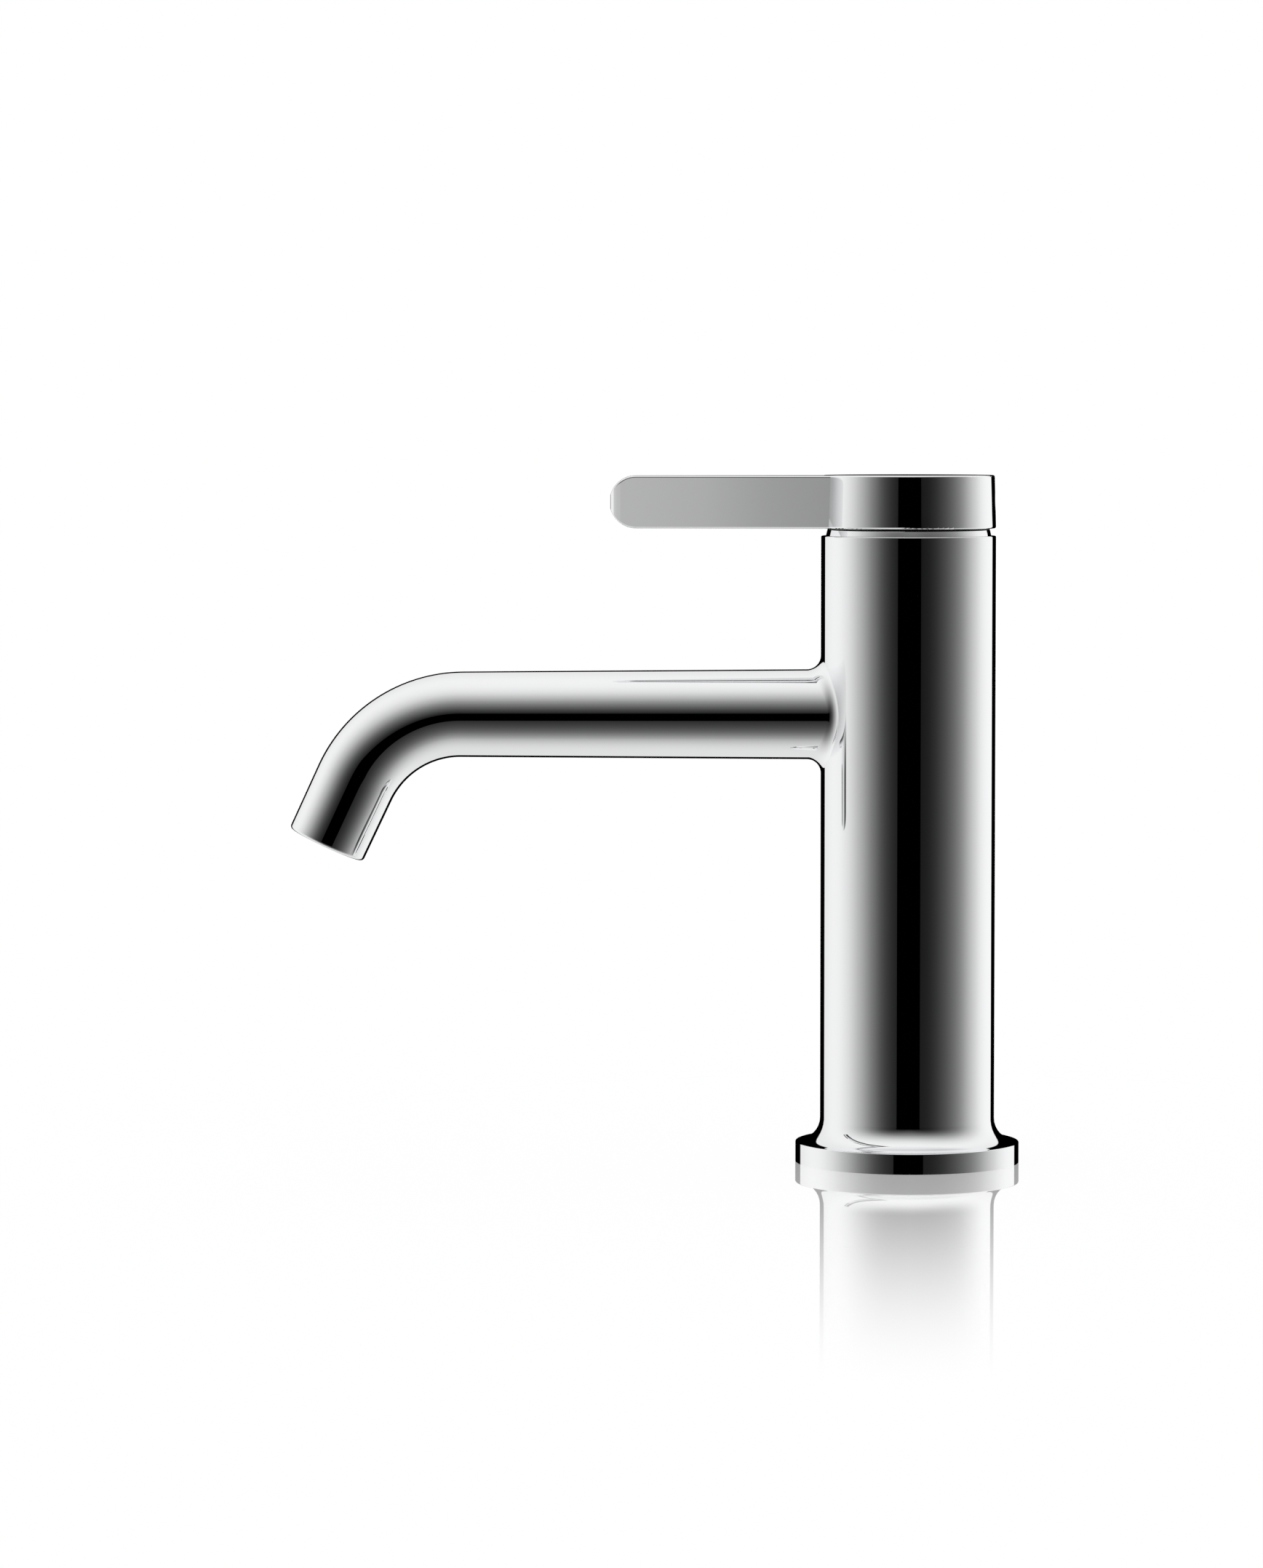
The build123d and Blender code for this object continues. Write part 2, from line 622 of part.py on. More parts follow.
dome_seat = Plane.XY.offset(DOME_GROOVE_Z)
write(ring(DOME_GROOVE_R, CORE_BORE_R, DOME_GROOVE_HEIGHT, dome_seat), "dome_ring_o_ring")

# === lever stem ===============================================================================================================
with BuildPart() as lever_stem:
    with BuildSketch(Plane.XY.offset(PIVOT_Z)):
        Rectangle(STEM_WIDTH, STEM_WIDTH)
    extrude(amount=STEM_TOP - PIVOT_Z)
    chamfer(lever_stem.edges().group_by(Axis.Z)[-1], STEM_EDGE)
    with BuildSketch(Plane.XZ):
        with Locations((0, PIVOT_Z)):
            Circle(STEM_WIDTH / 2)
    extrude(amount=STEM_WIDTH / 2, both=True)
    with BuildSketch(Plane.XY.offset(BALL_Z)):
        Circle(STEM_ARM_R)
    extrude(amount=STEM_ARM)
    with Locations((0, 0, BALL_Z)):
        Sphere(STEM_BALL_R)
    with BuildSketch(Plane.XZ):
        with Locations((0, PIVOT_Z)):
            Circle(PIN_R + PIN_CLEARANCE)
    extrude(amount=STEM_WIDTH, both=True, mode=Mode.SUBTRACT)
write(lever_stem, "lever_stem")

# === lever handle: cap and blade in one casting ==================================================================================
with BuildPart() as lever_handle:
    # blade: a wedge in plan, with a fully rounded end in side view
    with BuildSketch(Plane.XY.offset(CAP_BOTTOM)):
        with Locations((BLADE_TIP_X + BLADE_TIP_R, 0)):
            Circle(BLADE_TIP_R)
        with Locations((BLADE_ROOT_X, 0)):
            Circle(BLADE_ROOT_R)
        make_hull()
    extrude(amount=BLADE_HEIGHT)
    blade_end_r = BLADE_HEIGHT / 2
    blade_middle = CAP_BOTTOM + blade_end_r
    with BuildSketch(Plane.XZ):
        with Locations((BLADE_TIP_X - BLADE_TIP_FLAT + blade_end_r, blade_middle)):
            Circle(blade_end_r)
            Rectangle(-BLADE_TIP_X, BLADE_HEIGHT, align=(Align.MIN, Align.CENTER))
    extrude(amount=BLADE_ROOT_R + 1, both=True, mode=Mode.INTERSECT)
    outline = lever_handle.edges().filter_by_position(Axis.X, BLADE_TIP_X - 1, BLADE_ROOT_X)
    sharp = outline.filter_by(Axis.Y, reverse=True).filter_by(Axis.Z, reverse=True)
    fillet(sharp, BLADE_EDGE)

    # cap
    with BuildSketch(Plane.XZ) as cap_profile:
        with BuildLine():
            Polyline(
                (0, CAP_BOTTOM),
                (CAP_BOTTOM_R, CAP_BOTTOM),
                (CAP_TOP_R, CAP_TOP),
                (0, CAP_TOP),
                close=True,
            )
        make_face()
        fillet(cap_profile.vertices().sort_by(Axis.X)[-1], CAP_BOTTOM_EDGE)
        top_corner = cap_profile.vertices().group_by(Axis.Y)[-1].sort_by(Axis.X)[-1]
        fillet(top_corner, CAP_TOP_EDGE)
    revolve(axis=Axis.Z)

    # hollow around the dome ring, with a boss for the stem
    with BuildSketch(Plane.XZ):
        with BuildLine():
            Polyline(
                (0, CAP_BOTTOM),
                (CAP_LIP_R, CAP_BOTTOM),
                (CAP_INNER_R, CAP_BOTTOM + CAP_LIP_HEIGHT),
                (CAP_INNER_R, CAP_CEILING),
                (BOSS_R, CAP_CEILING),
                (BOSS_R, BOSS_BOTTOM),
                (0, BOSS_BOTTOM),
                close=True,
            )
        make_face()
    revolve(axis=Axis.Z, mode=Mode.SUBTRACT)
    with BuildSketch(Plane.XY.offset(BOSS_BOTTOM)):
        socket_width = STEM_WIDTH + 2 * SOCKET_CLEARANCE
        Rectangle(socket_width, socket_width)
    extrude(amount=STEM_TOP - BOSS_BOTTOM, mode=Mode.SUBTRACT)

    # set screw's thread in the boss, and its way in through the back wall
    with BuildSketch(Plane(origin=(0, 0, SCREW_Z), z_dir=(1, 0, 0))):
        Circle(SCREW_R)
    extrude(amount=BOSS_R + 1, mode=Mode.SUBTRACT)
    with BuildSketch(Plane(origin=(CAP_INNER_R - 1, 0, SCREW_Z), z_dir=(1, 0, 0))):
        Circle(PLUG_HOLE_R)
    extrude(amount=COLUMN_R - CAP_INNER_R + 2, mode=Mode.SUBTRACT)
write(lever_handle, "lever_handle")

with BuildPart() as handle_set_screw:
    with BuildSketch(Plane(origin=(STEM_WIDTH / 2, 0, SCREW_Z), z_dir=(1, 0, 0))):
        Circle(SCREW_R)
    extrude(amount=SCREW_LENGTH)
    socket_start = STEM_WIDTH / 2 + SCREW_LENGTH - SCREW_SOCKET_DEPTH
    with BuildSketch(Plane(origin=(socket_start, 0, SCREW_Z), z_dir=(1, 0, 0))):
        RegularPolygon(SCREW_SOCKET, 6, major_radius=False)
    extrude(amount=SCREW_SOCKET_DEPTH, mode=Mode.SUBTRACT)
write(handle_set_screw, "handle_set_screw")

with BuildPart() as screw_plug:
    with BuildSketch(Plane(origin=(PLUG_INNER_X, 0, SCREW_Z), z_dir=(1, 0, 0))):
        Circle(PLUG_R)
    extrude(amount=PLUG_OUTER_X - PLUG_INNER_X)
    fillet(screw_plug.edges().group_by(Axis.X)[-1], PLUG_EDGE)
write(screw_plug, "screw_plug")

# === aerator =======================================================================================================================
with BuildPart() as aerator_housing:
    with BuildSketch(outlet_plane.offset(AERATOR_START)):
        Circle(AERATOR_R)
        Circle(AERATOR_LIP_R, mode=Mode.SUBTRACT)
    extrude(amount=AERATOR_LENGTH)
    with BuildSketch(outlet_plane.offset(AERATOR_START + AERATOR_LIP)):
        Circle(AERATOR_BORE_R)
    extrude(amount=AERATOR_LENGTH - AERATOR_LIP, mode=Mode.SUBTRACT)
    # four slots for the aerator key
    with BuildSketch(outlet_plane.offset(AERATOR_START)):
        Rectangle(2 * AERATOR_R + 1, KEY_SLOT_WIDTH)
        Rectangle(KEY_SLOT_WIDTH, 2 * AERATOR_R + 1)
    extrude(amount=KEY_SLOT_DEPTH, mode=Mode.SUBTRACT)
write(aerator_housing, "aerator_housing")

INSERT_START = AERATOR_START + AERATOR_LIP
with BuildPart() as aerator_insert:
    with BuildSketch(outlet_plane.offset(INSERT_START)):
        Circle(AERATOR_BORE_R)
    extrude(amount=INSERT_THICKNESS)
    with BuildSketch(outlet_plane.offset(INSERT_START)):
        with HexLocations(CELL_PITCH / 2, 7, 7):
            RegularPolygon((CELL_PITCH - CELL_WALL) / 2, 6, major_radius=False, rotation=30)
        Circle(AERATOR_LIP_R, mode=Mode.INTERSECT)
    extrude(amount=INSERT_THICKNESS, mode=Mode.SUBTRACT)
write(aerator_insert, "aerator_insert")

SCREEN_START = INSERT_START + INSERT_THICKNESS
with BuildPart() as aerator_screen:
    with BuildSketch(outlet_plane.offset(SCREEN_START)):
        Circle(AERATOR_BORE_R)
    extrude(amount=SCREEN_THICKNESS)
    with BuildSketch(outlet_plane.offset(SCREEN_START)):
        with GridLocations(SCREEN_PITCH, SCREEN_PITCH, 9, 9):
            Rectangle(SCREEN_HOLE, SCREEN_HOLE)
        Circle(AERATOR_LIP_R, mode=Mode.INTERSECT)
    extrude(amount=SCREEN_THICKNESS, mode=Mode.SUBTRACT)
write(aerator_screen, "aerator_screen")

seal_seat = outlet_plane.offset(AERATOR_START + AERATOR_LENGTH)
write(ring(AERATOR_BORE_R, AERATOR_SEAT_R, AERATOR_SEAL_THICKNESS, seal_seat), "aerator_seal")
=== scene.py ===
import json
from math import asin, cos, pi, radians, sin, sqrt, tan

import bpy
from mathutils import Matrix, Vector


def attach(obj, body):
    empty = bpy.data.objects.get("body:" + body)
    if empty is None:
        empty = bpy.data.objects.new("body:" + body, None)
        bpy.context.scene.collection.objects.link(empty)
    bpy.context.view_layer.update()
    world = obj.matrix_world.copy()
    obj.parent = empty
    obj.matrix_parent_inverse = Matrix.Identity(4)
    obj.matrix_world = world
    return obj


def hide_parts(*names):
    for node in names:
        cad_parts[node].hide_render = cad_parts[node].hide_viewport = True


# Single-lever bathroom mixer faucet: chrome looks, white studio and camera, in metres.

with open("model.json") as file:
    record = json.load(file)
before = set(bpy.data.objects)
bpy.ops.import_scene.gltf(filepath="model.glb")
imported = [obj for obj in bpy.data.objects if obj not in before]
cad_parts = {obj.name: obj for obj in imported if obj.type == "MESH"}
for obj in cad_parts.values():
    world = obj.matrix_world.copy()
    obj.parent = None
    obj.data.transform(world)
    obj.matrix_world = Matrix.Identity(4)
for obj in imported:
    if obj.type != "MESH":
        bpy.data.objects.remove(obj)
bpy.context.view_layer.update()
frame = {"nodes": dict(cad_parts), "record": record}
scene = bpy.context.scene
nodes = frame["nodes"]

WHITE = (1, 1, 1, 1)


# === node helpers ============================================================================
def node(tree, kind, **settings):
    """Add a shader node and set its plain settings."""
    made = tree.nodes.new(kind)
    for name, value in settings.items():
        setattr(made, name, value)
    return made


def feed(tree, target, source):
    """Give an input a constant or another node's output."""
    if isinstance(source, bpy.types.NodeSocket):
        tree.links.new(source, target)
    else:
        target.default_value = source


def math(tree, operation, first, second=None, third=None, clamp=False):
    """One Math node; returns its output."""
    made = node(tree, "ShaderNodeMath", operation=operation, use_clamp=clamp)
    for socket, source in zip(made.inputs, (first, second, third)):
        if source is not None:
            feed(tree, socket, source)
    return made.outputs[0]


def smooth_step(tree, value, low, high):
    """0 below low, 1 above high, eased between."""
    made = node(tree, "ShaderNodeMapRange", interpolation_type="SMOOTHSTEP")
    feed(tree, made.inputs["Value"], value)
    made.inputs["From Min"].default_value = low
    made.inputs["From Max"].default_value = high
    return made.outputs["Result"]


def between(tree, value, low, high, softness):
    """1 inside low..high, 0 outside, with soft edges."""
    rise = smooth_step(tree, value, low - softness / 2, low + softness / 2)
    fall = smooth_step(tree, value, high - softness / 2, high + softness / 2)
    return math(tree, "SUBTRACT", rise, fall)


def blend(tree, amount, first, second):
    """first where amount is 0, second where it is 1."""
    difference = math(tree, "SUBTRACT", second, first)
    return math(tree, "MULTIPLY_ADD", difference, amount, first)


# === studio ====================================================================================
# The studio's brightness, as chrome shows it on screen, by the angle in degrees from its
# front, which is the side at -Y. Past the back edges the studio is dark.
STUDIO_RIGHT = (
    (0, 0.06), (15, 0.12), (25, 0.15), (44, 0.27),
    (65, 0.45), (97, 0.80), (119, 0.94), (150, 0.96),
)
STUDIO_LEFT = (
    (0, 0.06), (18, 0.15), (30, 0.23), (49, 0.45),
    (70, 0.70), (94, 0.89), (112, 0.94), (150, 0.90),
)
STUDIO_UP = (
    (0, 0.12), (8, 0.20), (16, 0.31), (32, 0.52),
    (50, 0.75), (68, 0.89), (90, 0.94), (150, 0.90),
)
STUDIO_DOWN = (
    (0, 0.12), (24, 0.24), (40, 0.35), (58, 0.55),
    (77, 0.76), (98, 0.85), (126, 0.87), (150, 0.87),
)
BACK_EDGE_RIGHT = 143.5
BACK_EDGE_LEFT = 146.5
BACK_EDGE_UP = 154.0
BACK_EDGE_DOWN = 143.5
BACK_SOFTNESS = 2.0
BLACK = 0.012

# A black card at the studio's front, in degrees sideways and up.
FRONT_CARD_SIDES = (-16.3, 13.9)
FRONT_CARD_HEIGHTS = (-14.8, 4.4)
FRONT_CARD_SOFTNESS = 0.6

# Far panels: the part of the sphere that each fills, in degrees, and its mesh's step.
PANEL_RADIUS = 20.0
LEVER_PANEL_CURVE = (
    (0, 0.56), (9.6, 0.565), (12, 0.69), (27, 0.70),
    (40, 0.66), (55, 0.55), (70, 0.35), (80, 0),
)
LEVER_PANEL_SIDES = (-80, -8)
LEVER_PANEL_HEIGHTS = (-70, 1)
LEVER_PANEL_STEP = 1
FLOOR_PANEL_SIDES = (-180, 180)
FLOOR_PANEL_HEIGHTS = (0, 90)
FLOOR_PANEL_STEP = 5

NEVER_ZERO = 1e-6
HALF_TURN = 180.0
TO_DEGREES = HALF_TURN / pi
SCREEN_GAMMA = 2.2
CHROME_REFLECTANCE = 0.93


def studio_curve(tree, angle, points):
    """A smooth brightness curve over the angle, 0 to 180 degrees."""
    made = node(tree, "ShaderNodeFloatCurve")
    curve = made.mapping.curves[0]
    curve.points[0].location = (points[0][0] / HALF_TURN, points[0][1])
    curve.points[1].location = (1.0, points[-1][1])
    for degrees, brightness in points[1:]:
        curve.points.new(degrees / HALF_TURN, brightness)
    made.mapping.update()
    feed(tree, made.inputs["Value"], math(tree, "DIVIDE", angle, HALF_TURN))
    return made.outputs[0]


def seen_in_chrome(tree, brightness):
    """Light that chrome shows on the screen at this brightness."""
    return math(tree, "DIVIDE", math(tree, "POWER", brightness, SCREEN_GAMMA), CHROME_REFLECTANCE)


def side_degrees(tree, x, y):
    """Angle of a direction round the studio from its front, positive to the right."""
    towards = math(tree, "MULTIPLY", y, -1.0)
    return math(tree, "MULTIPLY", math(tree, "ARCTAN2", x, towards), TO_DEGREES)


def build_world():
    """White for the camera and soft white for diffuse light; a graded studio for reflections."""
    world = bpy.data.worlds.new("studio")
    world.use_nodes = True
    scene.world = world
    tree = world.node_tree
    tree.nodes.clear()

    direction = node(tree, "ShaderNodeTexCoord").outputs["Generated"]
    split = node(tree, "ShaderNodeSeparateXYZ")
    feed(tree, split.inputs[0], direction)
    x, y, z = split.outputs
    towards = math(tree, "MULTIPLY", y, -1.0)
    angle = math(tree, "MULTIPLY", math(tree, "ARCCOSINE", towards), TO_DEGREES)
    side = side_degrees(tree, x, y)
    height = math(tree, "MULTIPLY", math(tree, "ARCSINE", z), TO_DEGREES)

    # how far a direction is to the side rather than above or below, 0 to 1
    x_squared = math(tree, "MULTIPLY", x, x)
    z_squared = math(tree, "MULTIPLY", z, z)
    across = math(tree, "ADD", math(tree, "ADD", x_squared, z_squared), NEVER_ZERO)
    sideways = math(tree, "DIVIDE", x_squared, across)
    on_right = math(tree, "GREATER_THAN", x, 0.0)
    above = math(tree, "GREATER_THAN", z, 0.0)

    right_or_left = blend(
        tree,
        on_right,
        studio_curve(tree, angle, STUDIO_LEFT),
        studio_curve(tree, angle, STUDIO_RIGHT),
    )
    up_or_down = blend(
        tree,
        above,
        studio_curve(tree, angle, STUDIO_DOWN),
        studio_curve(tree, angle, STUDIO_UP),
    )
    brightness = blend(tree, sideways, up_or_down, right_or_left)

    # dark studio behind the object, seen only at grazing angles
    side_edge = blend(tree, on_right, BACK_EDGE_LEFT, BACK_EDGE_RIGHT)
    vertical_edge = blend(tree, above, BACK_EDGE_DOWN, BACK_EDGE_UP)
    back_edge = blend(tree, sideways, vertical_edge, side_edge)
    past_edge = math(tree, "SUBTRACT", angle, back_edge)
    behind = smooth_step(tree, past_edge, -BACK_SOFTNESS / 2, BACK_SOFTNESS / 2)
    brightness = blend(tree, behind, brightness, BLACK)

    card = math(
        tree,
        "MULTIPLY",
        between(tree, side, *FRONT_CARD_SIDES, FRONT_CARD_SOFTNESS),
        between(tree, height, *FRONT_CARD_HEIGHTS, FRONT_CARD_SOFTNESS),
    )
    brightness = blend(tree, card, brightness, BLACK)

    graded = node(tree, "ShaderNodeBackground")
    graded.inputs["Color"].default_value = WHITE
    feed(tree, graded.inputs["Strength"], seen_in_chrome(tree, brightness))
    white = node(tree, "ShaderNodeBackground")
    white.inputs["Color"].default_value = WHITE
    path = node(tree, "ShaderNodeLightPath")
    mix = node(tree, "ShaderNodeMixShader")
    feed(tree, mix.inputs[0], path.outputs["Is Glossy Ray"])
    tree.links.new(white.outputs[0], mix.inputs[1])
    tree.links.new(graded.outputs[0], mix.inputs[2])
    output = node(tree, "ShaderNodeOutputWorld")
    tree.links.new(mix.outputs[0], output.inputs[0])
    world.cycles.sampling_method = "NONE"


def build_far_panel(name, sides, heights, step, receiver, curve=None):
    """A far light panel that only one object reflects: part of a sphere, white where it has no curve."""
    points, faces = [], []
    columns = range(sides[0], sides[1] + 1, step)
    rows = range(heights[0], heights[1] + 1, step)
    for height in rows:
        level = cos(radians(height))
        rise = sin(radians(height))
        for side in columns:
            direction = Vector((level * sin(radians(side)), -level * cos(radians(side)), rise))
            points.append(direction * PANEL_RADIUS)
    for row in range(len(rows) - 1):
        for k in range(len(columns) - 1):
            low = row * len(columns) + k
            faces.append((low, low + 1, low + len(columns) + 1, low + len(columns)))
    mesh = bpy.data.meshes.new(name)
    mesh.from_pydata(points, [], faces)
    panel = bpy.data.objects.new(name, mesh)
    scene.collection.objects.link(panel)

    made = bpy.data.materials.new(name + "_light")
    made.use_nodes = True
    tree = made.node_tree
    tree.nodes.clear()
    glow = node(tree, "ShaderNodeEmission")
    if curve:
        split = node(tree, "ShaderNodeSeparateXYZ")
        feed(tree, split.inputs[0], node(tree, "ShaderNodeTexCoord").outputs["Object"])
        left = math(tree, "MULTIPLY", side_degrees(tree, *split.outputs[:2]), -1.0)
        feed(tree, glow.inputs["Strength"], seen_in_chrome(tree, studio_curve(tree, left, curve)))
    add = node(tree, "ShaderNodeAddShader")
    tree.links.new(glow.outputs[0], add.inputs[0])
    tree.links.new(node(tree, "ShaderNodeBsdfTransparent").outputs[0], add.inputs[1])
    output = node(tree, "ShaderNodeOutputMaterial")
    tree.links.new(add.outputs[0], output.inputs["Surface"])
    mesh.materials.append(made)

    for ray in ("camera", "diffuse", "transmission", "shadow", "volume_scatter"):
        setattr(panel, "visible_" + ray, False)
    linked = bpy.data.collections.new(name + "_receivers")
    linked.objects.link(receiver)
    panel.light_linking.receiver_collection = linked


# === materials ===================================================================================
def material(name, color, metallic, roughness):
    """A Principled material; returns it with its tree and shader for detail to be added."""
    made = bpy.data.materials.new(name)
    made.use_nodes = True
    tree = made.node_tree
    shader = tree.nodes["Principled BSDF"]
    shader.inputs["Base Color"].default_value = (*color, 1)
    shader.inputs["Metallic"].default_value = metallic
    shader.inputs["Roughness"].default_value = roughness
    return made, tree, shader


def object_noise(tree, scale, detail=3.0, stretch=(1, 1, 1)):
    """Noise fixed to the object, with an optional stretch; returns its value output."""
    place = node(tree, "ShaderNodeTexCoord").outputs["Object"]
    mapping = node(tree, "ShaderNodeMapping")
    feed(tree, mapping.inputs["Vector"], place)
    mapping.inputs["Scale"].default_value = stretch
    noise = node(tree, "ShaderNodeTexNoise")
    noise.inputs["Scale"].default_value = scale
    noise.inputs["Detail"].default_value = detail
    feed(tree, noise.inputs["Vector"], mapping.outputs["Vector"])
    return noise.outputs["Fac"]


NOISE_LOW, NOISE_HIGH = 0.3, 0.7


def spread(tree, value, low, high):
    """Map noise onto low..high."""
    made = node(tree, "ShaderNodeMapRange")
    feed(tree, made.inputs["Value"], value)
    made.inputs["From Min"].default_value = NOISE_LOW
    made.inputs["From Max"].default_value = NOISE_HIGH
    made.inputs["To Min"].default_value = low
    made.inputs["To Max"].default_value = high
    return made.outputs["Result"]


def bump(tree, shader, height, distance):
    """Give the shader relief of this depth, in metres."""
    made = node(tree, "ShaderNodeBump")
    made.inputs["Strength"].default_value = 1.0
    made.inputs["Distance"].default_value = distance
    feed(tree, made.inputs["Height"], height)
    tree.links.new(made.outputs["Normal"], shader.inputs["Normal"])


CHROME_COLOR = (0.93, 0.935, 0.94)
# Painted shade: a near-black, rough colour for chrome within the cap's radius and height, standing in
# for the shadow gap under and inside the cap.
CAP_SHADE_COLOR = (0.05, 0.05, 0.052)
CAP_SHADE_ROUGHNESS = 0.5
CAP_INSIDE_R = 0.01975
CAP_INSIDE_HEIGHTS = (0.1474, 0.1572)
CAP_INSIDE_SOFTNESS = 1e-4


def chrome():
    """Polished plating with a slight haze and hairlines; inside the cap, and on what sits within it, the
    colour is painted near black and rough as painted shade for the shadow gap under the cap.
    """
    made, tree, shader = material("polished_chrome", CHROME_COLOR, 1.0, 0.03)
    haze = spread(tree, object_noise(tree, 45, 4), 0.010, 0.020)
    hairlines = spread(tree, object_noise(tree, 260, 2, (1, 1, 9)), 0.0, 0.006)
    polish = math(tree, "ADD", haze, hairlines)

    split = node(tree, "ShaderNodeSeparateXYZ")
    feed(tree, split.inputs[0], node(tree, "ShaderNodeTexCoord").outputs["Object"])
    x, y, z = split.outputs
    x_squared = math(tree, "MULTIPLY", x, x)
    y_squared = math(tree, "MULTIPLY", y, y)
    from_axis = math(tree, "SQRT", math(tree, "ADD", x_squared, y_squared))
    # painted shade: where the chrome turns near black, inside the cap's radius and between its heights
    inside = math(
        tree,
        "MULTIPLY",
        math(tree, "LESS_THAN", from_axis, CAP_INSIDE_R),
        between(tree, z, *CAP_INSIDE_HEIGHTS, CAP_INSIDE_SOFTNESS),
    )
    # mix the painted shade colour into the plating colour inside the cap
    tint = node(tree, "ShaderNodeMix", data_type="RGBA")
    amount, plated, shaded = tint.inputs[0], tint.inputs[6], tint.inputs[7]
    feed(tree, amount, inside)
    plated.default_value = (*CHROME_COLOR, 1)
    shaded.default_value = (*CAP_SHADE_COLOR, 1)
    tree.links.new(tint.outputs[2], shader.inputs["Base Color"])
    feed(tree, shader.inputs["Roughness"], blend(tree, inside, polish, CAP_SHADE_ROUGHNESS))
    return made


def brass():
    """Turned brass with fine rings from the tool."""
    made, tree, shader = material("machined_brass", (0.80, 0.62, 0.30), 1.0, 0.28)
    feed(tree, shader.inputs["Roughness"], spread(tree, object_noise(tree, 90), 0.2, 0.36))
    bump(tree, shader, object_noise(tree, 120, 2, (0.2, 0.2, 14)), 0.00004)
    return made


def steel():
    """Ground stainless steel."""
    made, tree, shader = material("stainless_steel", (0.62, 0.62, 0.63), 1.0, 0.3)
    feed(tree, shader.inputs["Roughness"], spread(tree, object_noise(tree, 200), 0.22, 0.38))
    bump(tree, shader, object_noise(tree, 400, 2, (1, 1, 8)), 0.00002)
    return made


def ceramic():
    """Lapped ceramic."""
    made, tree, shader = material("alumina_ceramic", (0.90, 0.89, 0.86), 0.0, 0.12)
    feed(tree, shader.inputs["Roughness"], spread(tree, object_noise(tree, 300), 0.08, 0.18))
    return made


PLASTIC_UNEVENNESS = 0.08


def plastic(name, color, roughness):
    """Moulded plastic with a fine grain."""
    made, tree, shader = material(name, color, 0.0, roughness)
    grain = object_noise(tree, 900, 4)
    finish = spread(tree, grain, roughness - PLASTIC_UNEVENNESS, roughness + PLASTIC_UNEVENNESS)
    feed(tree, shader.inputs["Roughness"], finish)
    bump(tree, shader, grain, 0.00003)
    return made


def rubber():
    """Matt black rubber with a coarse grain."""
    made, tree, shader = material("black_rubber", (0.022, 0.022, 0.024), 0.0, 0.55)
    grain = object_noise(tree, 700, 5)
    feed(tree, shader.inputs["Roughness"], spread(tree, grain, 0.45, 0.65))
    bump(tree, shader, grain, 0.00004)
    return made


WELD_DISTANCE = 1e-6
SHARP_ANGLE = 24


def true_shading(piece):
    """Even out the shading of a CAD node's triangles, with its real edges kept sharp."""
    weld = piece.modifiers.new("weld", "WELD")
    weld.merge_threshold = WELD_DISTANCE
    split = piece.modifiers.new("edges", "EDGE_SPLIT")
    split.split_angle = radians(SHARP_ANGLE)
    split.use_edge_sharp = False
    normals = piece.modifiers.new("normals", "WEIGHTED_NORMAL")
    normals.mode = "FACE_AREA_WITH_ANGLE"
    normals.weight = 50
    normals.thresh = 0.0


def dress_nodes():
    """Give every CAD node the material of its slot in the record; returns the materials by slot."""
    by_slot = {
        "chrome_plate": chrome(),
        "brass": brass(),
        "steel": steel(),
        "ceramic": ceramic(),
        "cartridge_plastic": plastic("ivory_plastic", (0.72, 0.71, 0.68), 0.42),
        "carrier_plastic": plastic("dark_plastic", (0.03, 0.032, 0.035), 0.38),
        "limiter_plastic": plastic("red_plastic", (0.48, 0.03, 0.02), 0.4),
        "aerator_plastic": plastic("grey_plastic", (0.30, 0.31, 0.32), 0.36),
        "rubber": rubber(),
    }
    for part in frame["record"]["subparts"]:
        for place in nodes[part["node"]].material_slots:
            place.material = by_slot[part["material_slot"]]
        true_shading(nodes[part["node"]])
    return by_slot


# === chrome surfaces ================================================================================
MM = 0.001
ROUND_STEPS = 8
COLUMN_STEPS = 160
TUBE_STEPS = 96


class Surface:
    """Quads over rings of points, each point with its exact normal, so that reflections stay smooth."""

    def __init__(self):
        self.points, self.normals, self.faces = [], [], []

    def add(self, rings):
        """Join rings of (point, normal) pairs; each ring closes on itself."""
        start, count = len(self.points), len(rings[0])
        for ring in rings:
            self.points += [point * MM for point, _ in ring]
            self.normals += [normal.normalized() for _, normal in ring]
        for row in range(len(rings) - 1):
            low = start + row * count
            for k in range(count):
                after = (k + 1) % count
                self.faces.append((low + k, low + after, low + count + after, low + count + k))

    def make(self, name):
        mesh = bpy.data.meshes.new(name)
        mesh.from_pydata(self.points, [], self.faces)
        mesh.shade_smooth()
        mesh.normals_split_custom_set_from_vertices(self.normals)
        made = bpy.data.objects.new(name, mesh)
        scene.collection.objects.link(made)
        return made


def corner_arc(centre_r, centre_z, radius, start, end, outward=True):
    """Profile points (r, z, normal angle) along a rounding; angles in degrees from +r towards +z."""
    found = []
    for step in range(ROUND_STEPS + 1):
        angle = radians(start + (end - start) * step / ROUND_STEPS)
        facing = angle if outward else angle + pi
        found.append((centre_r + radius * cos(angle), centre_z + radius * sin(angle), facing))
    return found


def turned(profile):
    """Rings about the column's axis from profile points (r, z, normal angle)."""
    rings = []
    for r, z, tilt in profile:
        ring = []
        for k in range(COLUMN_STEPS):
            turn = 2 * pi * k / COLUMN_STEPS
            outward = Vector((cos(turn), sin(turn), 0))
            normal = outward * cos(tilt) + Vector((0, 0, sin(tilt)))
            ring.append((outward * r + Vector((0, 0, z)), normal))
        rings.append(ring)
    return rings


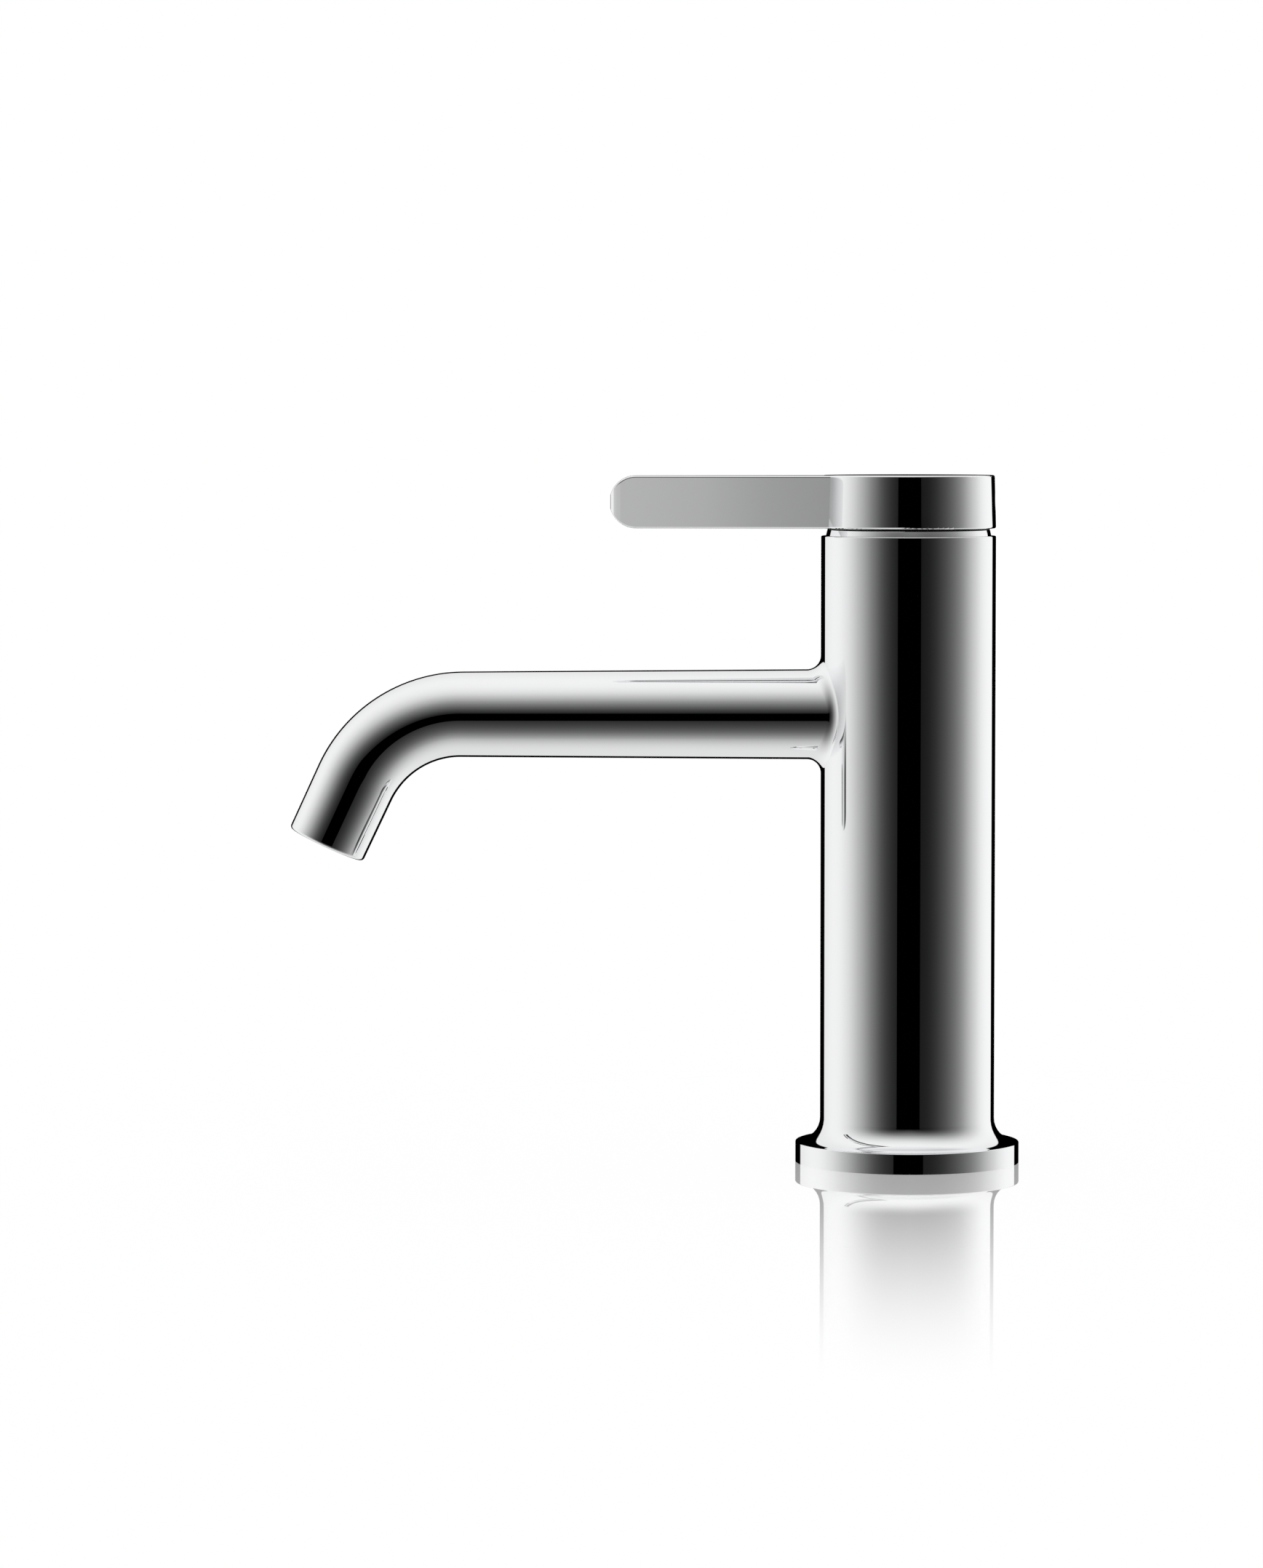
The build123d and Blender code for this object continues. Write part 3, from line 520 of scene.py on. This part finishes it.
def flat_sides(surface, *corners):
    """Turned faces between (r, z) corners, each with sharp edges and its own constant normal."""
    for (r0, z0), (r1, z1) in zip(corners, corners[1:]):
        tilt = Vector((z1 - z0, r0 - r1)).normalized()
        tilt_angle = asin(tilt.y) if tilt.x >= 0 else pi - asin(tilt.y)
        surface.add(turned([(r0, z0, tilt_angle), (r1, z1, tilt_angle)]))


# Foot and column, in millimetres.
FOOT_R = 26.0
FOOT_HEIGHT = 4.75
FOOT_EDGE = 0.2
FOOT_FILLET = 5.5
COLUMN_R = 20.25
COLUMN_TOP = 145.75
COLUMN_EDGE = 0.3
HOSE_BORE_R = 16.25
CORE_BORE_R = 17.25
CORE_BOTTOM = 86.0
GASKET_INNER_R = 21.0
GASKET_OUTER_R = 24.5
GASKET_HEIGHT = 2.5

# Spout, in millimetres; its radii are at the axis, where the bend starts and ends, and at the outlet.
SPOUT_Z = 104.3
SPOUT_RADII = (10.6, 9.93, 9.47, 9.35)
ROOT_FILLET = 3.25
CORNER_X = -121.0
BEND_R = 27.5
DROP_ANGLE = 65.0
CORNER_TO_OUTLET = 33.4
OUTLET_EDGE = 0.8
AERATOR_SEAT_R = 8.25
AERATOR_SEAT_DEPTH = 10.2
WATERWAY_R = 7.0
BEND_TANGENT = BEND_R * tan(radians(DROP_ANGLE / 2))
BEND_LENGTH = BEND_R * radians(DROP_ANGLE)
STRAIGHT = -CORNER_X - BEND_TANGENT
BEND_END = STRAIGHT + BEND_LENGTH
SPOUT_LENGTH = BEND_END + CORNER_TO_OUTLET - BEND_TANGENT

# Mesh of the spout: lengths in millimetres, and how many steps each stretch takes.
TAPER_BLEND = 4.0
ROOT_CLEARANCE = 4.0
ROOT_PASSES = 4
ROOT_STEPS = 2 * ROUND_STEPS
STRAIGHT_STEPS = 24
BEND_STEPS = 32
DROP_STEPS = 8
WATERWAY_STEPS = 16


def spout_radius(along):
    """Radius of the spout at a distance along its centreline from the column's axis."""
    places = (0, STRAIGHT, BEND_END, SPOUT_LENGTH)
    stretch = sum(along > place for place in places[1:-1])
    low, high = places[stretch : stretch + 2]
    first_r, last_r = SPOUT_RADII[stretch : stretch + 2]
    part = (along - low) / (high - low)
    return first_r + (last_r - first_r) * part


def spout_taper(along):
    """Slope of the spout's side, evened out where one stretch meets the next."""
    ahead_r = spout_radius(along + TAPER_BLEND)
    behind_r = spout_radius(along - TAPER_BLEND)
    return (ahead_r - behind_r) / (2 * TAPER_BLEND)


def spout_frame(along):
    """Centre, direction and upward direction of the spout at a distance along its centreline."""
    if along <= STRAIGHT:
        return Vector((-along, 0, SPOUT_Z)), Vector((-1, 0, 0)), Vector((0, 0, 1))
    turn = min((along - STRAIGHT) / BEND_R, radians(DROP_ANGLE))
    ahead = Vector((-cos(turn), 0, -sin(turn)))
    up = Vector((-sin(turn), 0, cos(turn)))
    pivot = Vector((-STRAIGHT, 0, SPOUT_Z - BEND_R))
    past = max(0.0, along - BEND_END)
    return pivot + up * BEND_R + ahead * past, ahead, up


def tube_ring(along, radius, lean=0.0, inward=False):
    """Ring of points round the spout's centreline; lean tilts its normals to the outlet, in radians."""
    centre, ahead, up = spout_frame(along)
    ring = []
    for k in range(TUBE_STEPS):
        turn = 2 * pi * k / TUBE_STEPS
        outward = up * cos(turn) + Vector((0, 1, 0)) * sin(turn)
        normal = outward * cos(lean) + ahead * sin(lean)
        ring.append((centre + outward * radius, -normal if inward else normal))
    return ring


def root_rings():
    """Rounding between column and spout: the path of a ball that rolls in the corner between them."""
    rings = [[] for _ in range(ROOT_STEPS + 1)]
    for k in range(TUBE_STEPS):
        turn = 2 * pi * k / TUBE_STEPS
        outward = Vector((0, sin(turn), cos(turn)))
        along = COLUMN_R
        for _ in range(ROOT_PASSES):
            lean = -spout_taper(along)
            reach = spout_radius(along) + ROOT_FILLET * cos(lean)
            ball_x = -sqrt((COLUMN_R + ROOT_FILLET) ** 2 - (reach * sin(turn)) ** 2)
            along = -ball_x - ROOT_FILLET * sin(lean)
        ball = Vector((ball_x, 0, SPOUT_Z)) + outward * reach
        to_spout = outward * -cos(lean) + Vector((sin(lean), 0, 0))
        to_column = Vector((-ball.x, -ball.y, 0)).normalized()
        swing = to_column.angle(to_spout)
        for step, ring in enumerate(rings):
            turned_by = swing * step / ROOT_STEPS
            away = to_column * sin(swing - turned_by) + to_spout * sin(turned_by)
            away /= sin(swing)
            ring.append((ball + away * ROOT_FILLET, -away))
    return rings


def build_body():
    """Foot, column and spout, with the same dimensions as the frame's mixer_body."""
    body = Surface()
    foot_edge = corner_arc(FOOT_R - FOOT_EDGE, FOOT_HEIGHT - FOOT_EDGE, FOOT_EDGE, 0, 90)
    foot_fillet = corner_arc(
        COLUMN_R + FOOT_FILLET, FOOT_HEIGHT + FOOT_FILLET, FOOT_FILLET, 270, 180, outward=False
    )
    column_edge = corner_arc(COLUMN_R - COLUMN_EDGE, COLUMN_TOP - COLUMN_EDGE, COLUMN_EDGE, 0, 90)
    foot_side = [(FOOT_R, 0, 0)]
    column_rim = [(CORE_BORE_R, COLUMN_TOP, pi / 2)]
    body.add(turned(foot_side + foot_edge + foot_fillet + column_edge + column_rim))
    flat_sides(
        body,
        (CORE_BORE_R, COLUMN_TOP),
        (CORE_BORE_R, CORE_BOTTOM),
        (HOSE_BORE_R, CORE_BOTTOM),
        (HOSE_BORE_R, 0),
        (GASKET_INNER_R, 0),
        (GASKET_INNER_R, GASKET_HEIGHT),
        (GASKET_OUTER_R, GASKET_HEIGHT),
        (GASKET_OUTER_R, 0),
        (FOOT_R, 0),
    )

    root = root_rings()
    body.add(root)
    tube = [root[-1]]
    start = COLUMN_R + ROOT_FILLET + ROOT_CLEARANCE
    stop = SPOUT_LENGTH - OUTLET_EDGE
    stretches = (
        (start, STRAIGHT, STRAIGHT_STEPS),
        (STRAIGHT, BEND_END, BEND_STEPS),
        (BEND_END, stop, DROP_STEPS),
    )
    for low, high, steps in stretches:
        for step in range(steps + 1):
            along = low + (high - low) * step / steps
            tube.append(tube_ring(along, spout_radius(along), lean=-spout_taper(along)))
    lip_r = spout_radius(stop) - OUTLET_EDGE
    for step in range(1, ROUND_STEPS + 1):
        lean = pi / 2 * step / ROUND_STEPS
        along = stop + OUTLET_EDGE * sin(lean)
        tube.append(tube_ring(along, lip_r + OUTLET_EDGE * cos(lean), lean=lean))
    tube.append(tube_ring(SPOUT_LENGTH, AERATOR_SEAT_R, lean=pi / 2))
    body.add(tube)

    seat_end = SPOUT_LENGTH - AERATOR_SEAT_DEPTH
    seat_wall = [tube_ring(along, AERATOR_SEAT_R, inward=True) for along in (SPOUT_LENGTH, seat_end)]
    seat_floor = [tube_ring(seat_end, radius, lean=pi / 2) for radius in (AERATOR_SEAT_R, WATERWAY_R)]
    waterway = [tube_ring(seat_end, WATERWAY_R, inward=True)]
    for step in range(WATERWAY_STEPS + 1):
        along = STRAIGHT + BEND_LENGTH * (1 - step / WATERWAY_STEPS)
        waterway.append(tube_ring(along, WATERWAY_R, inward=True))
    waterway.append(tube_ring(CORE_BORE_R, WATERWAY_R, inward=True))
    for rings in (seat_wall, seat_floor, waterway):
        body.add(rings)

    made = body.make("chrome_body")
    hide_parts("mixer_body")
    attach(made, "faucet_body")
    return made


# === floor and camera ================================================================================
FLOOR_SIZE = 60.0
FLOOR_GLOW = 0.8
FLOOR_IOR = 1.5
FLOOR_SHINE = 2.5
FLOOR_SHINE_FADE = (0.04, 0.33)
FLOOR_ROUGHNESS = 0.02


def build_floor():
    """A white satin floor; at a low angle it mirrors the object where it stands."""
    bpy.ops.mesh.primitive_plane_add(size=FLOOR_SIZE)
    floor = bpy.context.object
    floor.name = "floor"
    made, tree, shader = material("white_floor", (1.0, 1.0, 1.0), 0.0, 0.9)
    shader.inputs["Specular IOR Level"].default_value = 0.0
    glow = node(tree, "ShaderNodeEmission")
    plain = node(tree, "ShaderNodeMixShader")
    plain.inputs[0].default_value = FLOOR_GLOW
    tree.links.new(shader.outputs[0], plain.inputs[1])
    tree.links.new(glow.outputs[0], plain.inputs[2])

    # the mirror layer, strongest next to the foot
    from_foot = node(tree, "ShaderNodeVectorMath", operation="LENGTH")
    feed(tree, from_foot.inputs[0], node(tree, "ShaderNodeTexCoord").outputs["Object"])
    faded = smooth_step(tree, from_foot.outputs["Value"], *FLOOR_SHINE_FADE)
    polish = math(tree, "MULTIPLY_ADD", faded, -FLOOR_SHINE, FLOOR_SHINE)
    fresnel = node(tree, "ShaderNodeFresnel")
    fresnel.inputs["IOR"].default_value = FLOOR_IOR
    low_angle = math(tree, "POWER", fresnel.outputs[0], 2.0)
    shine = math(tree, "MULTIPLY", polish, low_angle, clamp=True)
    mirror = node(tree, "ShaderNodeBsdfGlossy")
    mirror.inputs["Roughness"].default_value = FLOOR_ROUGHNESS
    mirror.inputs["Color"].default_value = WHITE
    polished = node(tree, "ShaderNodeMixShader")
    feed(tree, polished.inputs[0], shine)
    tree.links.new(plain.outputs[0], polished.inputs[1])
    tree.links.new(mirror.outputs[0], polished.inputs[2])
    tree.links.new(polished.outputs[0], tree.nodes["Material Output"].inputs["Surface"])
    floor.data.materials.append(made)
    floor.visible_glossy = False
    return floor


CAMERA_DISTANCE = 1.366
CAMERA_HEIGHT = 0.1707
CAMERA_SIDE = -0.0642
CAMERA_PITCH = 3.462
CAMERA_REACH = 200.0
LENS = 135.2
SENSOR_WIDTH = 36.0


def build_camera():
    """A little above the handle, straight at the side of the spout, tilted slightly down."""
    data = bpy.data.cameras.new("camera")
    data.lens = LENS
    data.sensor_width = SENSOR_WIDTH
    data.clip_end = CAMERA_REACH
    camera = bpy.data.objects.new("camera", data)
    scene.collection.objects.link(camera)
    camera.location = (CAMERA_SIDE, -CAMERA_DISTANCE, CAMERA_HEIGHT)
    camera.rotation_euler = (radians(90 - CAMERA_PITCH), 0, 0)
    scene.camera = camera


# === the whole scene ===============================================================================
build_world()
finishes = dress_nodes()
chrome_body = build_body()
chrome_body.data.materials.append(finishes["chrome_plate"])
floor = build_floor()
build_far_panel(
    "lever_panel",
    LEVER_PANEL_SIDES,
    LEVER_PANEL_HEIGHTS,
    LEVER_PANEL_STEP,
    receiver=nodes["lever_handle"],
    curve=LEVER_PANEL_CURVE,
)
build_far_panel(
    "floor_panel",
    FLOOR_PANEL_SIDES,
    FLOOR_PANEL_HEIGHTS,
    FLOOR_PANEL_STEP,
    receiver=floor,
)
build_camera()
scene.view_settings.view_transform = "Standard"
scene.view_settings.look = "None"
